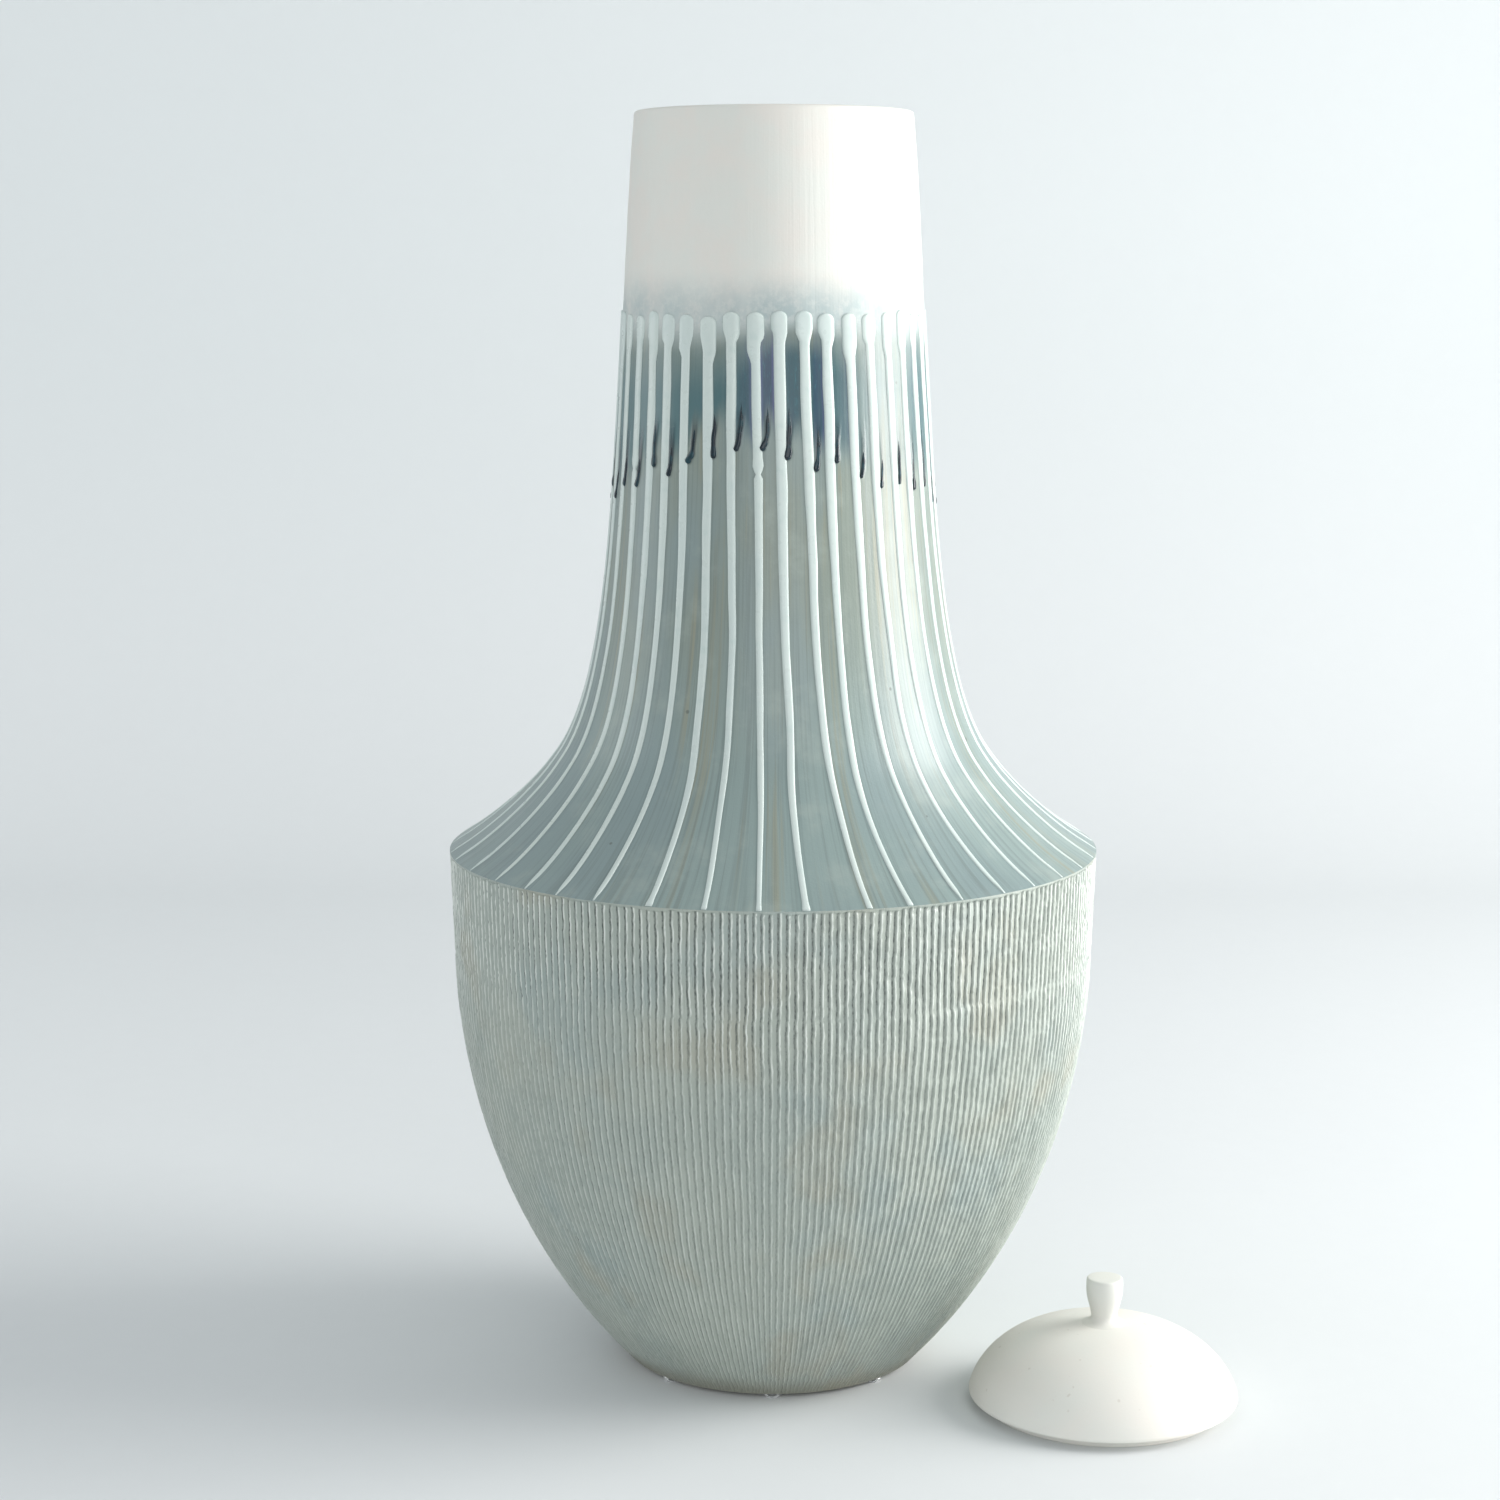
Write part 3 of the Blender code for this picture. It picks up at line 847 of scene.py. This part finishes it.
def neck_points(azimuth, height, pool):
    """Points of the glazed neck, with the pooled runs standing proud and a soft throwing ripple."""
    turn = azimuth / TURN
    share = (height - SHOULDER_HEIGHT) / (RIM_HEIGHT - SHOULDER_HEIGHT)
    ripple = 0.10 * MM * Noise(41, 5, 30)(turn, share) + 0.14 * MM * Noise(42, 40, 6)(turn, share)
    ripple = ripple * ramp(height, SHOULDER_HEIGHT, SHOULDER_HEIGHT + 6 * MM)
    out, up = cone_normal(height)
    lift = ripple + 0.45 * MM * pool
    return on_jar(azimuth, neck_radius(height) + lift * out, height + lift * up)


def add_neck():
    """The cone and neck as patches from the shoulder to just above the trails' heads."""
    cone_rows = even_rows(neck_radius, SHOULDER_HEIGHT, BAND_BOTTOM, CONE_ROWS)
    band_rows = np.linspace(BAND_BOTTOM, COLLAR_ROW, BAND_ROWS)[1:]
    heights = np.concatenate([cone_rows, band_rows])
    for number in range(PATCHES):
        columns = patch_columns(number, NECK_COLUMNS)
        azimuth, height = np.meshgrid(columns, heights)
        masks = neck_masks(azimuth, height)
        points = neck_points(azimuth, height, masks["pool"])
        piece = grid_piece(f"neck_{number + 1}", points, NECK_GLAZE)
        for name, values in masks.items():
            store(piece, name, values)
        store_round(piece, azimuth, height)
        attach(piece, JAR_BODY)
        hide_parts("jar_body")


def add_collar():
    """The collar above the trails, the rounded rim and the jar's inside down to its floor, in one piece."""
    lip = 1.8 * MM
    top = RIM_HEIGHT - lip
    outside = np.linspace(COLLAR_ROW, top, COLLAR_ROWS)
    radii = list(neck_radius(outside))
    heights = list(outside)
    outer = float(neck_radius(top))
    inner = float(inner_radius(top))
    for turn in np.linspace(0.0, 0.5 * math.pi, LIP_ROWS)[1:]:
        radii.append(outer - lip * (1.0 - math.cos(turn)))
        heights.append(top + lip * math.sin(turn))
    for turn in np.linspace(0.5 * math.pi, 0.0, LIP_ROWS):
        radii.append(inner + lip * (1.0 - math.cos(turn)))
        heights.append(top + lip * math.sin(turn))
    lining_start = len(heights)
    wall = even_rows(inner_radius, IN_HEIGHTS[0], top, LINING_ROWS)[::-1][1:]
    radii += list(inner_radius(wall))
    heights += list(wall)
    for share in (0.8, 0.5, 0.2, 0.002):
        radii.append(float(IN_RADII[0]) * share)
        heights.append(float(IN_HEIGHTS[0]))
    columns = np.arange(NECK_COLUMNS) * TURN / NECK_COLUMNS - math.pi / PATCHES
    azimuth, height = np.meshgrid(columns, np.array(heights))
    radius = np.repeat(np.array(radii)[:, None], NECK_COLUMNS, axis=1)
    points = on_jar(azimuth, radius, height)
    outer_height = height[:COLLAR_ROWS]
    rippled = neck_points(azimuth[:COLLAR_ROWS], outer_height, 0.0 * outer_height)
    keep = ramp(outer_height, top, top - 4.0 * MM)[..., None]
    points[:COLLAR_ROWS] = rippled * keep + points[:COLLAR_ROWS] * (1.0 - keep)
    piece = grid_piece("collar_and_lining", points, NECK_GLAZE, closed_across=True)
    masks = neck_masks(azimuth, np.clip(height, COLLAR_ROW, RIM_HEIGHT))
    inside = np.zeros_like(height)
    inside[lining_start:] = 1.0
    masks["haze"] = masks["haze"] * (1.0 - inside) + 0.18 * inside
    for name, values in masks.items():
        store(piece, name, values)
    store_round(piece, azimuth, height)
    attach(piece, JAR_BODY)
    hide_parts("jar_body")


# ---------------------------------------------------------------- belly


# Shifts of the ribs, their depth, the nicks in their crests and where each one starts
WOBBLE = Noise(51, RIBS, 60)
FINE_WOBBLE = Noise(52, RIBS, 170)
DRIFT = Noise(53, 57, 9)
SWELL = Noise(54, RIBS, 40)
NICKS = Noise(55, RIBS * 2, 200)
STARTS = Noise(56, RIBS, 1)


def comb(number, heights):
    """The combed surface of one patch, whose columns follow its ribs.

    Gives each point's azimuth and height, its ridge (1 on a rib's crest, about 0 between ribs and less in
    the cut beside a rib), the combing's depth there, and its groove, which runs the other way.
    """
    per_patch = RIBS // PATCHES
    step = len(RIB_PLACES)
    column = (number * per_patch - per_patch // 2) * step + np.arange(per_patch * step + 1)
    rib = column // step
    place = RIB_PLACES[column % step]
    turn, height = np.meshgrid((rib + place) / RIBS, heights)
    leader = np.where(place < -0.4, rib - 0.5, rib + 0.0)
    middle = np.broadcast_to(leader / RIBS, turn.shape)
    share = (SHOULDER_HEIGHT - height) / (SHOULDER_HEIGHT - FOOT_HEIGHT)
    below = ramp(height, OVERLAP_HEIGHT + 0.8 * MM, OVERLAP_HEIGHT - 0.8 * MM)
    band = np.exp(-(((height - OVERLAP_HEIGHT) / (1.6 * MM)) ** 2))
    crimp = ramp(share, 0.88, 0.985)
    shift = 0.12 * DRIFT(middle, share) + 0.26 * below * DRIFT(middle + 0.31, 0.5 + 0.0 * share)
    shift = shift + (0.040 + 0.12 * crimp) * WOBBLE(middle, share)
    shift = shift + (0.045 + 0.12 * crimp) * FINE_WOBBLE(middle, share)
    azimuth = (turn + shift / RIBS) * TURN
    profile = RIB_PROFILE[column % step]
    crest = 1.0 - 0.45 * ramp(NICKS(middle, share), 0.15, 0.85) - 0.5 * band
    ridge = profile * crest + 0.06 * NICKS(turn + 0.3, share) * (1.0 - profile)
    depth = RIB_DEPTH * (0.85 + 0.25 * SWELL(middle, share))
    depth = depth * (0.30 + 0.70 * (belly_radius(height) / OUT_RADII[SHOULDER]) ** 2)
    groove = 1.0 - profile * (0.5 + 0.5 * crest)
    return azimuth, height, ridge, depth, groove


def add_belly():
    """The belly as four patches, from the shoulder's edge down to the foot, and the raw underside."""
    edge = SHOULDER_HEIGHT - SHOULDER_BAND
    rows = even_rows(belly_radius, FOOT_HEIGHT, edge, BELLY_ROWS - EDGE_ROWS)
    rows = np.concatenate([rows, np.linspace(edge, SHOULDER_HEIGHT, EDGE_ROWS + 1)[1:]])
    bottom = ramp(rows, FOOT_HEIGHT, FOOT_HEIGHT + 1.5 * MM)[:, None]
    for number in range(PATCHES):
        azimuth, height, ridge, depth, groove = comb(number, rows)
        start = SHOULDER_HEIGHT - (1.2 + 0.6 * STARTS(azimuth / TURN, 0.0 * height)) * MM
        fade = bottom * ramp(height, start + 0.5 * MM, start - 0.6 * MM)
        radius = belly_radius(height) - (1.0 - ridge) * depth * fade
        piece = grid_piece(f"belly_{number + 1}", on_jar(azimuth, radius, height), COMBED_GLAZE)
        store(piece, "groove", groove * fade + 1.0 - fade)
        store(piece, "foot", ramp(height, FOOT_HEIGHT + 14.0 * MM, FOOT_HEIGHT))
        # high grows from the lower to the upper belly; the material scales its painted highlight and painted
        # shade by it
        uneven = height + 0.03 * Noise(57, 11, 1)(azimuth / TURN, 0.0 * height)
        store(piece, "high", ramp(uneven, 0.16, 0.235))
        store_round(piece, azimuth, height)
        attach(piece, JAR_BODY)
        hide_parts("jar_body")
    columns = np.arange(UNDERSIDE_COLUMNS) * TURN / UNDERSIDE_COLUMNS
    shares = np.array([0.002, 0.35, 0.7, 0.95, 1.0])
    azimuth, share = np.meshgrid(columns, shares)
    points = on_jar(azimuth, share * OUT_RADII[0], FOOT_HEIGHT + 0.0 * share)
    base = grid_piece("jar_underside", points, RAW_CLAY, closed_across=True)
    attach(base, JAR_BODY)
    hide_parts("jar_body")


# ---------------------------------------------------------------- lid and pads


def turned_piece(name, section, centre, material, columns):
    """A closed piece turned round a vertical axis, from a section of (radius, height) points."""
    radii, heights = np.array(section).T
    azimuth, height = np.meshgrid(np.arange(columns) * TURN / columns, heights)
    radius = np.repeat(radii[:, None], columns, axis=1)
    points = on_jar(azimuth, radius, height) + np.array([centre[0], centre[1], 0.0])
    return grid_piece(name, points, material, closed_across=True)


def arc(centre, radius, start, end, count):
    """Points on an arc of the section, angles in degrees from the outward direction."""
    turns = np.radians(np.linspace(start, end, count))
    return [(centre[0] + radius * math.cos(t), centre[1] + radius * math.sin(t)) for t in turns]


def cubic(start, first, second, end, count):
    """Points along a cubic Bezier curve in the section."""
    t = np.linspace(0.0, 1.0, count)[:, None]
    s = 1.0 - t
    corners = [np.array(corner) for corner in (start, first, second, end)]
    points = s**3 * corners[0] + 3 * s * s * t * corners[1] + 3 * s * t * t * corners[2] + t**3 * corners[3]
    return [tuple(point) for point in points]


def add_lid():
    """The lid's dome with its flange, and its knob with a small fillet where it meets the dome."""
    reach = (LID_HIGH.x - LID_LOW.x) / 2
    crown = LID_HIGH.z
    ledge = 4.5 * MM
    flange = reach - 6.6 * MM
    lip = 0.8 * MM
    centre_line = 0.05 * MM
    edge = (reach, ledge + 2.0 * lip)
    dome = cubic(edge, edge, (0.903 * reach, crown), (centre_line, crown), 44)[::-1]
    under = arc((reach - lip, ledge + lip), lip, 0, -90, 8)
    section = dome + under[1:] + [(flange + 0.4 * MM, ledge), (flange, ledge - 0.4 * MM)]
    flange_wall = 5.0 * MM
    flange_lip = 0.6 * MM
    section += arc((flange - flange_lip, flange_lip), flange_lip, 0, -90, 5)
    section += arc((flange - flange_wall + flange_lip, flange_lip), flange_lip, 270, 180, 5)
    spring = (flange - flange_wall, ledge)
    ceiling = crown - 5.2 * MM
    section += cubic(spring, spring, (0.74 * reach, ceiling), (centre_line, ceiling), 30)
    piece = turned_piece("lid_dome_glazed", section, LID_CENTRE, DOME_GLAZE, 200)
    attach(piece, LID_BODY)
    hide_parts("lid_dome")

    low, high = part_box("lid_knob")
    wide = (high.x - low.x) / 2
    waist = 0.71 * wide
    tall = high.z - low.z
    rounding = 1.0 * MM
    section = [(centre_line, high.z), (0.5 * wide, high.z - 0.02 * MM)]
    section += arc((wide - rounding - 0.15 * MM, high.z - rounding), rounding, 84, 12, 8)
    swell = (wide, high.z - 4.0 * MM)
    section += cubic(section[-1], (wide, high.z - 2.0 * MM), (wide, high.z - 3.0 * MM), swell, 5)[1:]
    neck = (waist, low.z + 3.4 * MM)
    pulls = (wide, high.z - 0.50 * tall), (waist + 0.9 * MM, low.z + 0.42 * tall)
    section += cubic(swell, *pulls, neck, 18)[1:]
    skirt = (waist + 5.6 * MM, low.z - 1.0 * MM)
    pulls = (waist - 0.1 * MM, low.z + 1.1 * MM), (waist + 1.6 * MM, low.z - 0.1 * MM)
    section += cubic(neck, *pulls, skirt, 14)[1:]
    section += [(centre_line, low.z - 1.2 * MM)]
    piece = turned_piece("lid_knob_glazed", section, LID_CENTRE, KNOB_GLAZE, 96)
    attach(piece, LID_BODY)
    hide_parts("lid_knob")


def add_pads():
    """Clear bumper pads: flat where they meet the jar, domed towards the table."""
    for name in sorted(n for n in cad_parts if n.startswith("foot_pad")):
        low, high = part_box(name)
        reach = (high.x - low.x) / 2
        centre = ((low.x + high.x) / 2, (low.y + high.y) / 2)
        tall = high.z - low.z
        top = high.z + 0.25 * MM
        centre_line = 0.02 * MM
        section = [(centre_line, top), (0.9 * reach, top), (reach, top - 0.15 * MM), (reach, top - 0.5 * MM)]
        pulls = (reach, low.z + 0.3 * tall), (0.95 * reach, low.z)
        section += cubic(section[-1], *pulls, (0.8 * reach, low.z), 8)[1:]
        section += [(centre_line, low.z)]
        piece = turned_piece(f"{name}_clear", section, centre, CLEAR_RUBBER, 40)
        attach(piece, JAR_BODY)
        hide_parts(name)


# ---------------------------------------------------------------- stage


def add_stage():
    """A pale floor that curves up into a pale backdrop behind the jar."""
    made = Shading("stage_paper")
    height = made.node("ShaderNodeSeparateXYZ", Vector=made.place()).outputs["Z"]
    grain = made.noise(made.place(), 60.0, 3.0)
    shade = made.mix(made.step(height, 0.0, 0.5), PAPER, PAPER_HIGH)
    shade = made.mix(made.step(grain, 0.3, 0.7, 0.0, 0.04), shade, PAPER_GRAIN)
    paper = made.finish(Base_Color=shade, Roughness=0.6, Specular_IOR_Level=0.3)
    bend_start = 1.1
    radius = 0.6
    outline = [(-STAGE_REACH, 0.0), (bend_start, 0.0)]
    for turn in np.linspace(0.0, 0.5 * math.pi, 24)[1:]:
        outline.append((bend_start + radius * math.sin(turn), radius * (1.0 - math.cos(turn))))
    outline.append((bend_start + radius, STAGE_REACH))
    points = np.array([[(x, y, z) for x in (-STAGE_REACH, STAGE_REACH)] for y, z in outline])
    floor = grid_piece("floor", points, paper)


def add_area_light(name, place, aim, size, power, colour):
    """A flat rectangular light at a place, turned towards the point it aims at."""
    lamp = bpy.data.lights.new(name, "AREA")
    lamp.shape = "RECTANGLE"
    lamp.size, lamp.size_y = size
    lamp.energy = power
    lamp.color = colour
    holder = bpy.data.objects.new(name, lamp)
    holder.location = place
    direction = np.array(aim) - np.array(place)
    flat = math.hypot(direction[0], direction[1])
    holder.rotation_euler = (
        math.atan2(flat, -direction[2]), 0.0, math.atan2(direction[1], direction[0]) - 0.5 * math.pi
    )
    bpy.context.scene.collection.objects.link(holder)


def add_lights():
    """Soft daylight: a tall window light at the right, weaker ones at the left and front, an even surround."""
    middle = (0.0, 0.0, 0.30)
    in_front = (0.0, -0.55, 0.30)
    add_area_light("window_right", (2.1, -0.02, 0.8), in_front, (1.5, 1.9), 84.0, (1.0, 0.99, 0.97))
    add_area_light("window_left", (-2.1, 0.35, 0.7), middle, (1.4, 1.6), 9.0, (0.94, 0.98, 1.0))
    add_area_light("window_front", (0.3, -2.7, 0.9), middle, (2.2, 1.6), 17.0, (0.97, 0.99, 1.0))
    world = bpy.data.worlds.new("studio")
    bpy.context.scene.world = world
    world.use_nodes = True
    back = world.node_tree.nodes["Background"]
    back.inputs["Color"].default_value = (0.93, 0.97, 1.0, 1.0)
    back.inputs["Strength"].default_value = 0.64


def add_camera():
    """The camera at the photograph's angle, and plain sRGB display of the light."""
    bpy.context.scene.view_settings.view_transform = "Standard"
    lens = bpy.data.cameras.new("camera")
    lens.lens = CAMERA_LENS
    lens.sensor_width = 36.0
    lens.clip_end = 50.0
    camera = bpy.data.objects.new("camera", lens)
    camera.location = (0.0, -CAMERA_DISTANCE, CAMERA_HEIGHT)
    camera.rotation_euler = (0.5 * math.pi - CAMERA_PITCH, 0.0, CAMERA_TURN)
    bpy.context.scene.collection.objects.link(camera)
    bpy.context.scene.camera = camera


add_camera()
add_trails()
add_runs()
add_neck()
add_collar()
add_belly()
add_lid()
add_pads()
add_stage()
add_lights()
